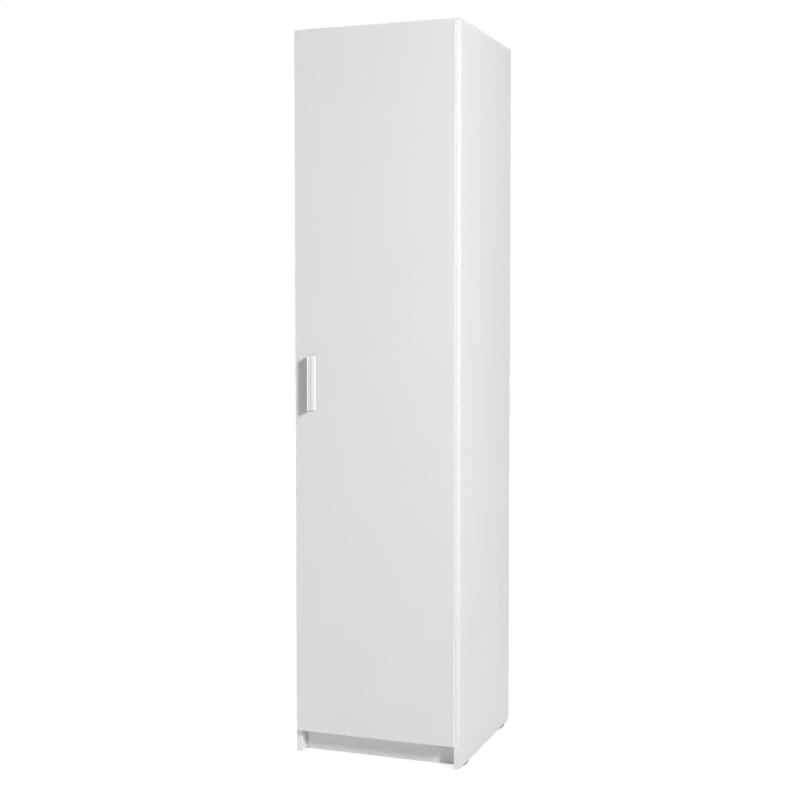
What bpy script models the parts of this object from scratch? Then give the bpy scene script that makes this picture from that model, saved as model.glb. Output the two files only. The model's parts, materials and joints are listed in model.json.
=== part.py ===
"""A white one-door wardrobe with concealed hinges, at its real size.

Metres, +Z up. The origin is on the floor under the middle of the wardrobe's box.
The door faces -Y, its hinges are on the right (+X) and its pull is on the left.
"""

from math import asin, cos, pi, radians, sin

import bmesh
import bpy
from mathutils import Matrix, Vector

MM = 0.001

# Carcass
WIDTH = 470 * MM
HEIGHT = 1970 * MM
CARCASS_DEPTH = 481 * MM
BOARD = 16 * MM
EDGE_ROUND = 0.4 * MM
BOTTOM_HEIGHT = 63 * MM
PLINTH_SETBACK = 38 * MM
PLINTH_CLEARANCE = 2 * MM
FIT = 0.3 * MM

# Back panel, slid into grooves in the sides
BACK = 3 * MM
BACK_INSET = 20 * MM
GROOVE_DEPTH = 6 * MM
BACK_LIP = 2 * MM

# Glides under the side panels
GLIDE_HEIGHT = 4 * MM
GLIDE_LENGTH = 50 * MM
GLIDE_WIDTH = 15 * MM
GLIDE_SETBACK = 40 * MM
GLIDE_NAIL_LENGTH = 14 * MM
GLIDE_NAIL_RADIUS = 1 * MM

# Screws, caps, dowels and nails of the carcass
SCREW_FROM_FRONT = 46 * MM
SCREW_FROM_REAR = 80 * MM
PLINTH_SCREW_HEIGHT = 32 * MM
SCREW_LENGTH = 50 * MM
SCREW_SHOULDER = 18 * MM
SCREW_HEAD_RADIUS = 5 * MM
SCREW_NECK_RADIUS = 3.5 * MM
SCREW_THREAD_RADIUS = 2.5 * MM
SCREW_HEAD_DEPTH = 1.6 * MM
CAP_RADIUS = 6.5 * MM
CAP_THICKNESS = 1.1 * MM
DOWEL_RADIUS = 4 * MM
DOWEL_CHAMFER = 0.8 * MM
DOWEL_IN_SIDE = 10 * MM
DOWEL_IN_PANEL = 20 * MM
NAIL_RADIUS = 0.8 * MM
NAIL_HEAD_RADIUS = 2 * MM
NAIL_HEAD = 0.8 * MM
NAIL_LENGTH = 20 * MM
NAILS_PER_EDGE = 4
NAIL_MARGIN = 50 * MM

# Hat shelf, placed by the room above it, and its pins
HAT_ROOM = 264 * MM
SHELF_SETBACK = 25 * MM
SHELF_PIN_RADIUS = 2.5 * MM
SHELF_PIN_COLLAR = 1.5 * MM
SHELF_PIN_COLLAR_RADIUS = 4 * MM
SHELF_PIN_DEPTH = 10 * MM
SHELF_PIN_REACH = 9 * MM
SHELF_PIN_MARGIN = 50 * MM

# Clothes rail and its sockets
RAIL_HEIGHT = 30 * MM
RAIL_WIDTH = 15 * MM
RAIL_WALL = 1.2 * MM
RAIL_DROP = 65 * MM
SOCKET_BASE = 2.5 * MM
SOCKET_WALL = 2 * MM
SOCKET_COLLAR = 12 * MM
SOCKET_SCREW_SPACING = 44 * MM
SOCKET_EAR_RADIUS = 6 * MM
WOOD_SCREW_RADIUS = 1.75 * MM
WOOD_SCREW_HEAD_RADIUS = 3.2 * MM
WOOD_SCREW_HEAD = 1.2 * MM
WOOD_SCREW_LENGTH = 12 * MM

# Door
DOOR_BOARD = 16 * MM
DOOR_GAP = 3 * MM
PULL_SIDE_INSET = 8 * MM
HINGE_SIDE_INSET = 10.5 * MM
DOOR_BOTTOM = 67 * MM
DOOR_TOP_REVEAL = 7 * MM
BUFFER_RADIUS = 3 * MM
BUFFER_MARGIN = 40 * MM

# Pull: an angle profile with its web at the left end
PULL_FROM_EDGE = 44.7 * MM
PULL_WIDTH = 19 * MM
PULL_REACH = 24 * MM
PULL_WEB = 3.2 * MM
PULL_FLANGE = 4.5 * MM
PULL_ROUND = 0.7 * MM
PULL_LENGTH = 148 * MM
PULL_CENTRE = 1020 * MM
PULL_SCREW_SPACING = 128 * MM
PULL_SCREW_RADIUS = 2 * MM
PULL_SCREW_HEAD_RADIUS = 3.6 * MM
PULL_SCREW_HEAD = 2.2 * MM
PULL_SCREW_GRIP = 3.2 * MM

# Hinges: a cup in the door, an arm on the right side panel and two links between them
HINGE_COUNT = 3
HINGE_END = 100 * MM
CUP_RADIUS = 17.2 * MM
CUP_EDGE = 3.5 * MM
CUP_POCKET_RADIUS = 16.4 * MM
CUP_POCKET_DEPTH = 11.8 * MM
CUP_FLOOR = 0.6 * MM
CUP_FLANGE = 0.8 * MM
CUP_NOTCH_DEPTH = 3.2 * MM
CUP_SCREW_SPACING = 48 * MM
CUP_SCREW_OFFSET = 6 * MM
CUP_WING_RADIUS = 7 * MM
PIN_RADIUS = 1 * MM
PIN_IN_CUP = 1 * MM

# Pivots, from the cup's centre along X and from the door's rear face along Y
ARM_OUTER_PIVOT = Vector((-12.5 * MM, -1.3 * MM, 0))
ARM_INNER_PIVOT = Vector((-8.9 * MM, -6.2 * MM, 0))
CUP_OUTER_PIVOT = Vector((7.3 * MM, -3.9 * MM, 0))
CUP_INNER_PIVOT = Vector((8.2 * MM, -7.3 * MM, 0))

# Hinge layers from the middle outwards: inner link, arm, outer link plates, cup wall
INNER_LINK_HALF = 2.6 * MM
ARM_PLATE = 1.4 * MM
LINK_PLATE = 1.4 * MM
LINK_RADIUS = 2 * MM
SLOT_TRAVEL = 1.3 * MM
SLOT_PLAY = 0.6 * MM
SLOT_RIM = 0.7 * MM
INNER_LINK_SWING = radians(29.5)
ARM_EAR_RADIUS = 2.8 * MM
ARM_NECK_RADIUS = 3.2 * MM

# Hinge arm and its mounting plate on the side panel
ARM_NECK_END = 16 * MM
ARM_NECK_OFFSET = 11 * MM
ARM_START = 12 * MM
ARM_END = 64 * MM
ARM_ROOF = 1.6 * MM
ARM_HALF = 6 * MM
ARM_WALL = 1.4 * MM
PLATE_BASE = 2.4 * MM
PLATE_SCREW_SETBACK = 37 * MM
PLATE_SCREW_SPACING = 32 * MM
PLATE_WING_RADIUS = 8 * MM
SPINE_START = 21 * MM
SPINE_END = 60 * MM
SPINE_HEIGHT = 8 * MM
PLATE_SCREW_RADIUS = 2.8 * MM
PLATE_SCREW_HEAD_RADIUS = 4 * MM
PLATE_SCREW_HEAD = 2 * MM
PLATE_SCREW_LENGTH = 11 * MM
ARM_SCREW_RADIUS = 2 * MM
ARM_SCREW_HEAD_RADIUS = 3.4 * MM
ARM_SCREW_HEAD = 1.6 * MM
ARM_SCREW_LENGTH = 6 * MM
ARM_SCREW_FROM_END = 14 * MM

# Facets of round pieces
FINE_SIDES = 32
RAIL_SIDES = 16
SIDES = 12
SMALL_SIDES = 8

# How far a cutter runs past the face it breaks through
BREAK = 1 * MM

# Edges that bend more than these angles stay sharp, or are softened
SMOOTH_ANGLE = radians(35)
SOFTEN_ANGLE = radians(40)

# Doubled area, in square metres, under which three outline points count as one line
STRAIGHT = 1e-12

# Places worked out from the sizes above
TOTAL_DEPTH = CARCASS_DEPTH + DOOR_GAP + DOOR_BOARD + PULL_REACH
REAR = TOTAL_DEPTH / 2
FRONT = REAR - CARCASS_DEPTH
INNER = WIDTH / 2 - BOARD
BACK_REAR = REAR - BACK_INSET
BACK_FRONT = BACK_REAR - BACK
BOTTOM_TOP = BOTTOM_HEIGHT + BOARD
SHELF_TOP = HEIGHT - BOARD - HAT_ROOM
SHELF_UNDER = SHELF_TOP - BOARD
SIDE_BOTTOM = GLIDE_HEIGHT + FIT
DOOR_REAR = FRONT - DOOR_GAP
DOOR_FACE = DOOR_REAR - DOOR_BOARD
DOOR_LEFT = PULL_SIDE_INSET - WIDTH / 2
DOOR_RIGHT = WIDTH / 2 - HINGE_SIDE_INSET
DOOR_TOP = HEIGHT - DOOR_TOP_REVEAL
CUP_X = DOOR_RIGHT - CUP_EDGE - CUP_RADIUS - FIT
CUP_CENTRE = Vector((CUP_X, DOOR_REAR, 0))
CUP_RIM = DOOR_REAR + FIT + CUP_FLANGE
RAIL_Y = (FRONT + BACK_FRONT) / 2
RAIL_Z = SHELF_UNDER - RAIL_DROP
ARM_PLATE_IN = INNER_LINK_HALF + FIT
ARM_PLATE_OUT = ARM_PLATE_IN + ARM_PLATE
LINK_PLATE_IN = ARM_PLATE_OUT + FIT
LINK_PLATE_OUT = LINK_PLATE_IN + LINK_PLATE
POCKET_HALF = LINK_PLATE_OUT + FIT
PLATE_FACE = INNER - FIT - PLATE_BASE
SPINE_TOP = PLATE_FACE - SPINE_HEIGHT
ARM_ROOF_IN = SPINE_TOP - FIT
ARM_ROOF_OUT = ARM_ROOF_IN - ARM_ROOF
ARM_CHANNEL_HALF = ARM_HALF - ARM_WALL
SPINE_HALF = ARM_CHANNEL_HALF - FIT
ARM_OUTER_AXIS = CUP_CENTRE + ARM_OUTER_PIVOT
ARM_INNER_AXIS = CUP_CENTRE + ARM_INNER_PIVOT
CUP_OUTER_AXIS = CUP_CENTRE + CUP_OUTER_PIVOT
CUP_INNER_AXIS = CUP_CENTRE + CUP_INNER_PIVOT
HINGE_SPAN = (DOOR_TOP - DOOR_BOTTOM - 2 * HINGE_END) / (HINGE_COUNT - 1)
HINGE_HEIGHTS = [DOOR_BOTTOM + HINGE_END + i * HINGE_SPAN for i in range(HINGE_COUNT)]

# Finishes: base colour, roughness, metallic
WHITE_BOARD = ((0.80, 0.80, 0.81), 0.45, 0.0)
WHITE_PLASTIC = ((0.84, 0.84, 0.84), 0.35, 0.0)
BLACK_PLASTIC = ((0.02, 0.02, 0.02), 0.5, 0.0)
CLEAR_PLASTIC = ((0.75, 0.76, 0.76), 0.2, 0.0)
ALUMINIUM = ((0.72, 0.72, 0.73), 0.35, 1.0)
NICKEL = ((0.66, 0.65, 0.62), 0.25, 1.0)
CHROME = ((0.75, 0.75, 0.76), 0.12, 1.0)
ZINC = ((0.60, 0.60, 0.58), 0.4, 1.0)
BEECH = ((0.62, 0.44, 0.26), 0.7, 0.0)

# Holes to drill into each piece, and the nails, screws and pins fixed in a piece
bores = {}
studs = {}


def clear_scene():
    for old in list(bpy.data.objects):
        bpy.data.objects.remove(old, do_unlink=True)


def circle(centre, radius, sides):
    """Points of a circle, counter-clockwise, in the plane of centre's two values."""
    angles = [2 * pi * (i + 0.5) / sides for i in range(sides)]
    return [(centre[0] + radius * cos(a), centre[1] + radius * sin(a)) for a in angles]


def hull(points):
    """Convex outline around points, counter-clockwise."""

    def half(ordered):
        chain = []
        for p in ordered:
            while len(chain) > 1 and turn(chain[-2], chain[-1], p) <= STRAIGHT:
                chain.pop()
            chain.append(p)
        return chain[:-1]

    def turn(a, b, c):
        return (b[0] - a[0]) * (c[1] - a[1]) - (b[1] - a[1]) * (c[0] - a[0])

    ordered = sorted(set(points))
    return half(ordered) + half(ordered[::-1])


def capsule(start, end, radius, sides=SIDES):
    """Outline of a bar with round ends."""
    return hull(circle(start, radius, sides) + circle(end, radius, sides))


def rectangle(low, high):
    return [(low[0], low[1]), (high[0], low[1]), (high[0], high[1]), (low[0], high[1])]


def clipped_disc(centre, radius, half, steps):
    """Outline of a disc cut straight at plus and minus half of its second direction."""
    reach = asin(half / radius)
    angles = [reach * (2 * i / steps - 1) for i in range(steps + 1)]
    right = [(centre[0] + radius * cos(a), centre[1] + radius * sin(a)) for a in angles]
    left = [(centre[0] - radius * cos(a), centre[1] - radius * sin(a)) for a in angles]
    return right + left


def spot(axis, u, v, along):
    """Point for outline values u and v and a distance along an axis."""
    if axis == "X":
        return Vector((along, u, v))
    if axis == "Y":
        return Vector((u, along, v))
    return Vector((u, v, along))


def add_prism(bm, outline, axis, low, high):
    """Outline extruded along an axis from low to high."""
    bottom = [bm.verts.new(spot(axis, u, v, low)) for u, v in outline]
    top = [bm.verts.new(spot(axis, u, v, high)) for u, v in outline]
    count = len(outline)
    for i in range(count):
        j = (i + 1) % count
        bm.faces.new((bottom[i], bottom[j], top[j], top[i]))
    bm.faces.new(bottom[::-1])
    bm.faces.new(top)


def add_tube(bm, outer, inner, axis, low, high):
    """Open tube between two outlines that have as many points each."""
    rings = []
    for outline, along in ((outer, low), (outer, high), (inner, high), (inner, low)):
        rings.append([bm.verts.new(spot(axis, u, v, along)) for u, v in outline])
    count = len(outer)
    for ring, following in zip(rings, rings[1:] + rings[:1]):
        for i in range(count):
            j = (i + 1) % count
            bm.faces.new((ring[i], ring[j], following[j], following[i]))


def add_box(bm, low, high):
    add_prism(bm, rectangle(low, high), "Z", low[2], high[2])


def add_turned(bm, profile, start, direction, sides):
    """Solid of revolution: profile holds distances along direction with their radii."""
    turn = Vector((0, 0, 1)).rotation_difference(Vector(direction)).to_matrix().to_4x4()
    place = Matrix.Translation(start) @ turn
    rings = []
    for distance, radius in profile:
        points = circle((0, 0), radius, sides)
        rings.append([bm.verts.new(place @ Vector((x, y, distance))) for x, y in points])
    for ring, following in zip(rings, rings[1:]):
        for i in range(sides):
            j = (i + 1) % sides
            bm.faces.new((ring[i], ring[j], following[j], following[i]))
    bm.faces.new(rings[0][::-1])
    bm.faces.new(rings[-1])


def finish_material(name, finish):
    colour, roughness, metallic = finish
    material = bpy.data.materials.new(name)
    material.use_nodes = True
    shader = material.node_tree.nodes["Principled BSDF"]
    shader.inputs["Base Color"].default_value = (*colour, 1)
    shader.inputs["Roughness"].default_value = roughness
    shader.inputs["Metallic"].default_value = metallic
    return material


def link_object(name, bm, origin, parent):
    """Object with its own origin, whose mesh was built in world places."""
    bmesh.ops.recalc_face_normals(bm, faces=bm.faces)
    bm.transform(Matrix.Translation(-origin))
    mesh = bpy.data.meshes.new(name)
    bm.to_mesh(mesh)
    bm.free()
    piece = bpy.data.objects.new(name, mesh)
    bpy.context.scene.collection.objects.link(piece)
    piece.location = origin
    if parent:
        piece.parent = parent
        piece.location = origin - parent.location
    return piece


def make_piece(name, bm, finish, origin, parent=None, smooth=False):
    piece = link_object(name, bm, origin, parent)
    piece.data.materials.append(finish_material(name + "_finish", finish))
    if smooth:
        piece.data.shade_smooth()
        piece.data.set_sharp_from_angle(angle=SMOOTH_ANGLE)
    return piece


def make_axis(name, place):
    """Empty on a joint's axis, which carries the pieces that turn about it."""
    axis = bpy.data.objects.new(name, None)
    bpy.context.scene.collection.objects.link(axis)
    axis.location = place
    return axis


def bevel(piece, width, segments=1):
    modifier = piece.modifiers.new("edge_round", "BEVEL")
    modifier.width = width
    modifier.segments = segments
    modifier.limit_method = "ANGLE"
    modifier.angle_limit = SOFTEN_ANGLE


def combine(piece, operation, bm, label):
    """Boolean of a piece with a shape built in world places."""
    tool = link_object(f"{label}_{piece.name}", bm, Vector((0, 0, 0)), None)
    tool.hide_render = True
    tool.display_type = "WIRE"
    modifier = piece.modifiers.new(label, "BOOLEAN")
    modifier.operation = operation
    modifier.solver = "EXACT"
    modifier.object = tool


def drill(piece):
    """Cut the holes asked for in this piece and join the studs fixed in it."""
    if piece.name in bores:
        combine(piece, "DIFFERENCE", bores.pop(piece.name), "holes")
    if piece.name in studs:
        combine(piece, "UNION", studs.pop(piece.name), "studs")


def bore_into(boards, bore, start, direction, sides):
    for name in boards:
        add_turned(bores.setdefault(name, bmesh.new()), bore, start, direction, sides)


def fasten(name, profile, bore, start, direction, boards, finish, parent=None, sides=SMALL_SIDES):
    """Make one turned fastener and its hole in each board that it passes."""
    bm = bmesh.new()
    add_turned(bm, profile, start, direction, sides)
    make_piece(name, bm, finish, start, parent, smooth=True)
    bore_into(boards, bore, start, direction, sides)


def stud(carrier, profile, bore, start, direction, boards, sides=SMALL_SIDES):
    """Add a turned pin, nail or screw to the piece that carries it, with its holes elsewhere."""
    add_turned(studs.setdefault(carrier, bmesh.new()), profile, start, direction, sides)
    bore_into(boards, bore, start, direction, sides)


def straight_bore(radius, depth, start=-BREAK):
    return [(start, radius + FIT), (depth + FIT, radius + FIT)]


def pan_head(radius, height, shank_radius, tip):
    """Profile of a screw whose low round head lies on the face that it starts from."""
    return [
        (-FIT - height, radius - height / 2),
        (-FIT - height / 2, radius),
        (-FIT, radius),
        (-FIT, shank_radius),
        (tip, shank_radius),
    ]


def board(name, low, high, finish=WHITE_BOARD, parent=None):
    """Flat board between two corners, with softened edges and its holes."""
    bm = bmesh.new()
    add_box(bm, low, high)
    centre = (Vector(low) + Vector(high)) / 2
    piece = make_piece(name, bm, finish, centre, parent)
    bevel(piece, EDGE_ROUND)
    drill(piece)
    return piece


def side_name(side):
    return "side_panel_left" if side < 0 else "side_panel_right"


def joint_levels():
    """The panels screwed between the sides, with the height of each joint."""
    return (("top", HEIGHT - BOARD / 2), ("bottom", BOTTOM_HEIGHT + BOARD / 2))


def make_joint_screws():
    """Long screws through the sides into top, bottom and plinth, each under its cap."""
    neck = SCREW_HEAD_DEPTH + SCREW_HEAD_RADIUS - SCREW_NECK_RADIUS
    body = [
        (SCREW_HEAD_DEPTH, SCREW_HEAD_RADIUS),
        (neck, SCREW_NECK_RADIUS),
        (SCREW_SHOULDER, SCREW_NECK_RADIUS),
        (SCREW_SHOULDER, SCREW_THREAD_RADIUS),
        (SCREW_LENGTH, SCREW_THREAD_RADIUS),
    ]
    cap = [
        (-FIT - CAP_THICKNESS, CAP_RADIUS - CAP_THICKNESS),
        (-FIT - CAP_THICKNESS / 2, CAP_RADIUS),
        (-FIT, CAP_RADIUS),
        (-FIT, SCREW_HEAD_RADIUS),
    ]
    bore = [(-BREAK, SCREW_HEAD_RADIUS + FIT)]
    bore += [(distance + FIT, radius + FIT) for distance, radius in body]
    places = []
    for level, height in joint_levels():
        places.append((f"{level}_panel", f"{level}_front", FRONT + SCREW_FROM_FRONT, height))
        places.append((f"{level}_panel", f"{level}_rear", REAR - SCREW_FROM_REAR, height))
    plinth_middle = FRONT + PLINTH_SETBACK + BOARD / 2
    places.append(("plinth_board", "plinth", plinth_middle, PLINTH_SCREW_HEIGHT))
    for side, word in ((-1, "left"), (1, "right")):
        for panel, spot_name, y, z in places:
            start = Vector((side * WIDTH / 2, y, z))
            boards = (side_name(side), panel)
            name = f"capped_screw_{spot_name}_{word}"
            fasten(name, cap + body, bore, start, (-side, 0, 0), boards, WHITE_PLASTIC, sides=SIDES)


def make_dowels():
    """One wooden dowel between the two screws of each joint."""
    length = DOWEL_IN_SIDE + DOWEL_IN_PANEL
    profile = [
        (0, DOWEL_RADIUS - DOWEL_CHAMFER),
        (DOWEL_CHAMFER, DOWEL_RADIUS),
        (length - DOWEL_CHAMFER, DOWEL_RADIUS),
        (length, DOWEL_RADIUS - DOWEL_CHAMFER),
    ]
    bore = straight_bore(DOWEL_RADIUS, length, -FIT)
    middle = (FRONT + SCREW_FROM_FRONT + REAR - SCREW_FROM_REAR) / 2
    for side, word in ((-1, "left"), (1, "right")):
        for level, height in joint_levels():
            start = Vector((side * (INNER - DOWEL_IN_PANEL), middle, height))
            boards = (side_name(side), f"{level}_panel")
            fasten(f"dowel_{level}_{word}", profile, bore, start, (side, 0, 0), boards, BEECH)


def plan_back_nails():
    """Nails fixed in the back, driven into the rear edges of the top and bottom panels."""
    profile = [
        (-NAIL_HEAD, NAIL_HEAD_RADIUS),
        (BACK / 2, NAIL_HEAD_RADIUS),
        (BACK / 2, NAIL_RADIUS),
        (NAIL_LENGTH, NAIL_RADIUS),
    ]
    bore = straight_bore(NAIL_RADIUS, NAIL_LENGTH, BACK)
    reach = INNER - NAIL_MARGIN
    for level, height in joint_levels():
        for i in range(NAILS_PER_EDGE):
            x = reach * (2 * i / (NAILS_PER_EDGE - 1) - 1)
            start = Vector((x, BACK_REAR, height))
            stud("back_panel", profile, bore, start, (0, -1, 0), (f"{level}_panel",))


def glide_places():
    reach = GLIDE_SETBACK + GLIDE_LENGTH / 2
    ends = ((FRONT + reach, "front"), (REAR - reach, "rear"))
    sides = ((-1, "left"), (1, "right"))
    return [(side, y, f"glide_{end}_{word}") for side, word in sides for y, end in ends]


def plan_glide_nails():
    """A nail moulded into each glide, driven into the bottom edge of its side panel."""
    tip = GLIDE_HEIGHT + GLIDE_NAIL_LENGTH
    profile = [(GLIDE_HEIGHT / 2, GLIDE_NAIL_RADIUS), (tip, GLIDE_NAIL_RADIUS)]
    bore = straight_bore(GLIDE_NAIL_RADIUS, tip, 0)
    for side, y, name in glide_places():
        start = Vector((side * (WIDTH - BOARD) / 2, y, 0))
        stud(name, profile, bore, start, (0, 0, 1), (side_name(side),))


def make_glides():
    """Black plastic strips with round ends, softened where they slide."""
    for side, y, name in glide_places():
        x = side * (WIDTH - BOARD) / 2
        straight = (GLIDE_LENGTH - GLIDE_WIDTH) / 2
        bm = bmesh.new()
        outline = capsule((x, y - straight), (x, y + straight), GLIDE_WIDTH / 2, SIDES)
        add_prism(bm, outline, "Z", 0, GLIDE_HEIGHT)
        piece = make_piece(name, bm, BLACK_PLASTIC, Vector((x, y, 0)))
        bevel(piece, EDGE_ROUND)
        drill(piece)


def make_shelf_pins():
    """Four collared pins in the sides that the hat shelf lies on."""
    profile = [
        (-SHELF_PIN_DEPTH, SHELF_PIN_RADIUS),
        (FIT, SHELF_PIN_RADIUS),
        (FIT, SHELF_PIN_COLLAR_RADIUS),
        (FIT + SHELF_PIN_COLLAR, SHELF_PIN_COLLAR_RADIUS),
        (FIT + SHELF_PIN_COLLAR, SHELF_PIN_RADIUS),
        (FIT + SHELF_PIN_COLLAR + SHELF_PIN_REACH, SHELF_PIN_RADIUS),
    ]
    bore = [(-SHELF_PIN_DEPTH - FIT, SHELF_PIN_RADIUS + FIT), (BREAK, SHELF_PIN_RADIUS + FIT)]
    height = SHELF_UNDER - FIT - SHELF_PIN_RADIUS
    front = FRONT + SHELF_SETBACK + SHELF_PIN_MARGIN
    for side, word in ((-1, "left"), (1, "right")):
        for y, end in ((front, "front"), (BACK_FRONT - SHELF_PIN_MARGIN, "rear")):
            start = Vector((side * INNER, y, height))
            name = f"shelf_pin_{end}_{word}"
            fasten(name, profile, bore, start, (-side, 0, 0), (side_name(side),), NICKEL, sides=SIDES)


def make_shelf():
    reach = INNER - SHELF_PIN_COLLAR - 2 * FIT
    low = (-reach, FRONT + SHELF_SETBACK, SHELF_UNDER)
    high = (reach, BACK_FRONT - FIT, SHELF_TOP)
    board("hat_shelf", low, high)


def oval(grow):
    """Outline of the clothes rail in Y and Z, grown outwards by a wall."""
    straight = (RAIL_HEIGHT - RAIL_WIDTH) / 2
    radius = RAIL_WIDTH / 2 + grow
    return capsule((RAIL_Y, RAIL_Z - straight), (RAIL_Y, RAIL_Z + straight), radius, RAIL_SIDES)


def rail_socket_name(side):
    return "rail_socket_left" if side < 0 else "rail_socket_right"


def make_rail_screws():
    profile = pan_head(WOOD_SCREW_HEAD_RADIUS, WOOD_SCREW_HEAD, WOOD_SCREW_RADIUS, WOOD_SCREW_LENGTH)
    bore = straight_bore(WOOD_SCREW_RADIUS, WOOD_SCREW_LENGTH)
    for side, word in ((-1, "left"), (1, "right")):
        for end, place in ((-1, "lower"), (1, "upper")):
            z = RAIL_Z + end * SOCKET_SCREW_SPACING / 2
            start = Vector((side * (INNER - FIT - SOCKET_BASE), RAIL_Y, z))
            boards = (side_name(side), rail_socket_name(side))
            name = f"rail_screw_{place}_{word}"
            fasten(name, profile, bore, start, (side, 0, 0), boards, ZINC)


def make_rail():
    """Oval tube held at each end in a collar with a screwed base."""
    reach = INNER - FIT - SOCKET_BASE - FIT
    bm = bmesh.new()
    add_tube(bm, oval(0), oval(-RAIL_WALL), "X", -reach, reach)
    make_piece("clothes_rail", bm, CHROME, Vector((0, RAIL_Y, RAIL_Z)), smooth=True)
    for side in (-1, 1):
        wall = side * (INNER - FIT)
        face = side * (INNER - FIT - SOCKET_BASE)
        ends = [(RAIL_Y, RAIL_Z + end * SOCKET_SCREW_SPACING / 2) for end in (-1, 1)]
        base = bmesh.new()
        ears = circle(ends[0], SOCKET_EAR_RADIUS, SIDES) + circle(ends[1], SOCKET_EAR_RADIUS, SIDES)
        add_prism(base, hull(ears + oval(SOCKET_WALL + FIT)), "X", wall, face)
        piece = make_piece(rail_socket_name(side), base, CHROME, Vector((wall, RAIL_Y, RAIL_Z)))
        collar = bmesh.new()
        rim = face - side * SOCKET_COLLAR
        add_prism(collar, oval(SOCKET_WALL + FIT), "X", (wall + face) / 2, rim)
        combine(piece, "UNION", collar, "collar")
        mouth = bmesh.new()
        add_prism(mouth, oval(FIT), "X", face, rim - side * BREAK)
        combine(piece, "DIFFERENCE", mouth, "mouth")
        drill(piece)


def plan_groove(side):
    """Groove near the rear edge of a side panel, open at the top, that the back slides into."""
    across = sorted((side * (INNER - BREAK), side * (INNER + GROOVE_DEPTH)))
    start = (across[0], BACK_FRONT - FIT, BOTTOM_HEIGHT - FIT)
    end = (across[1], BACK_REAR + FIT, HEIGHT + BREAK)
    add_box(bores[side_name(side)], start, end)


def make_boards():
    """The drilled and grooved boards of the carcass and the back."""
    for side in (-1, 1):
        plan_groove(side)
        faces = sorted((side * INNER, side * WIDTH / 2))
        board(side_name(side), (faces[0], FRONT, SIDE_BOTTOM), (faces[1], REAR, HEIGHT))
    reach = INNER - FIT
    behind = BACK_FRONT - FIT
    board("top_panel", (-reach, FRONT, HEIGHT - BOARD), (reach, behind, HEIGHT))
    board("bottom_panel", (-reach, FRONT, BOTTOM_HEIGHT), (reach, behind, BOTTOM_TOP))
    plinth_front = FRONT + PLINTH_SETBACK
    low = (-reach, plinth_front, PLINTH_CLEARANCE)
    board("plinth_board", low, (reach, plinth_front + BOARD, BOTTOM_HEIGHT - FIT))
    edge = INNER + GROOVE_DEPTH - FIT
    low = (-edge, BACK_FRONT, BOTTOM_HEIGHT)
    board("back_panel", low, (edge, BACK_REAR, HEIGHT - BACK_LIP))


def make_door(axis):
    low = (DOOR_LEFT, DOOR_FACE, DOOR_BOTTOM)
    high = (DOOR_RIGHT, DOOR_REAR, DOOR_TOP)
    board("door_panel", low, high, parent=axis)


def make_buffers(axis):
    """Soft discs on the door that meet the left side panel's front edge."""
    profile = [(FIT, BUFFER_RADIUS), (DOOR_GAP / 2, BUFFER_RADIUS), (DOOR_GAP - FIT, BUFFER_RADIUS / 2)]
    x = (DOOR_LEFT - INNER) / 2
    ends = ((DOOR_BOTTOM + BUFFER_MARGIN, "lower"), (DOOR_TOP - BUFFER_MARGIN, "upper"))
    for z, end in ends:
        bm = bmesh.new()
        start = Vector((x, DOOR_REAR, z))
        add_turned(bm, profile, start, (0, 1, 0), SIDES)
        make_piece(f"door_buffer_{end}", bm, CLEAR_PLASTIC, start, axis, smooth=True)


def make_pull_screws(axis):
    """Machine screws from inside the door into the pull's flange."""
    reach = DOOR_BOARD + PULL_SCREW_GRIP
    profile = pan_head(PULL_SCREW_HEAD_RADIUS, PULL_SCREW_HEAD, PULL_SCREW_RADIUS, reach)
    bore = straight_bore(PULL_SCREW_RADIUS, reach)
    x = DOOR_LEFT + PULL_FROM_EDGE + (PULL_WEB + PULL_WIDTH) / 2
    for end, place in ((-1, "lower"), (1, "upper")):
        start = Vector((x, DOOR_REAR, PULL_CENTRE + end * PULL_SCREW_SPACING / 2))
        boards = ("door_panel", "pull")
        fasten(f"pull_screw_{place}", profile, bore, start, (0, -1, 0), boards, NICKEL, axis)


def make_pull(axis):
    """Angle profile: a flange flat on the door and a web that the fingers hook behind."""
    left = DOOR_LEFT + PULL_FROM_EDGE
    right = left + PULL_WIDTH
    seat = DOOR_FACE - FIT
    front = seat - PULL_FLANGE
    tip = DOOR_FACE - PULL_REACH
    outline = [
        (left, tip),
        (left + PULL_WEB, tip),
        (left + PULL_WEB, front),
        (right, front),
        (right, seat),
        (left, seat),
    ]
    bm = bmesh.new()
    add_prism(bm, outline, "Z", PULL_CENTRE - PULL_LENGTH / 2, PULL_CENTRE + PULL_LENGTH / 2)
    piece = make_piece("pull", bm, ALUMINIUM, Vector((left, DOOR_FACE, PULL_CENTRE)), axis)
    bevel(piece, PULL_ROUND, 2)
    drill(piece)


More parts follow.
